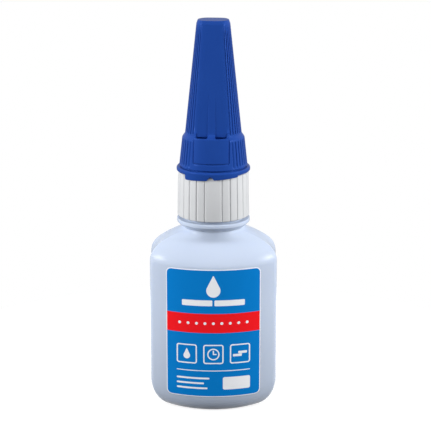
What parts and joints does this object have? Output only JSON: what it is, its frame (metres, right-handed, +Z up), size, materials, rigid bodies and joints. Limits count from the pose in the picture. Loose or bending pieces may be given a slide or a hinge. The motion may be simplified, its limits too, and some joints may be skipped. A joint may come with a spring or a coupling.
{
  "type": "super glue bottle",
  "caption": "Oval squeeze bottle of instant adhesive with a screw collar, a tapered dispensing spout and a long ribbed screw cap with an outlet pin.",
  "frame": {"origin": "centre of the standing face, at its lowest plane", "axes": "+Z up along the bottle's axis, -Y out of the front label, +X to the right of a viewer who faces the front label"},
  "size_m": [0.0362, 0.0252, 0.1118],
  "materials": {
    "bottle_plastic": "satin blow-moulded HDPE, pale blue-grey",
    "adhesive_liquid": "clear liquid",
    "nozzle_plastic": "satin moulded PE, natural white",
    "collar_plastic": "satin moulded PP, white",
    "cap_plastic": "satin moulded PP, deep blue",
    "pin_steel": "drawn stainless wire",
    "label_film": "printed PP film"
  },
  "bodies": {
    "bottle": {"bottle": "bottle_plastic", "adhesive": "adhesive_liquid", "front_label": "label_film", "rear_label": "label_film"},
    "nozzle": {"nozzle": "nozzle_plastic"},
    "collar": {"ribbed_collar": "collar_plastic"},
    "cap_pin": {"cap_pin": "pin_steel"},
    "cap": {"cap": "cap_plastic"}
  },
  "joints": [
    {"name": "collar_lift", "type": "slide", "parent": "bottle", "child": "nozzle", "axis": [0, 0, 1], "range_m": [0, 0.01271]},
    {"name": "collar_turn", "type": "hinge", "parent": "nozzle", "child": "collar", "pos_m": [0, 0, 0.0625], "axis": [0, 0, 1], "range_deg": [0, 1440]},
    {"name": "cap_lift", "type": "slide", "parent": "nozzle", "child": "cap_pin", "axis": [0, 0, 1], "range_m": [0, 0.0394]},
    {"name": "cap_turn", "type": "hinge", "parent": "cap_pin", "child": "cap", "pos_m": [0, 0, 0.09], "axis": [0, 0, 1], "range_deg": [0, 3780]}
  ],
  "couplings": [
    {"joint": "collar_lift", "follows": "collar_turn", "m_per_rad": 0.00050532},
    {"joint": "cap_lift", "follows": "cap_turn", "m_per_rad": 0.00059683}
  ]
}
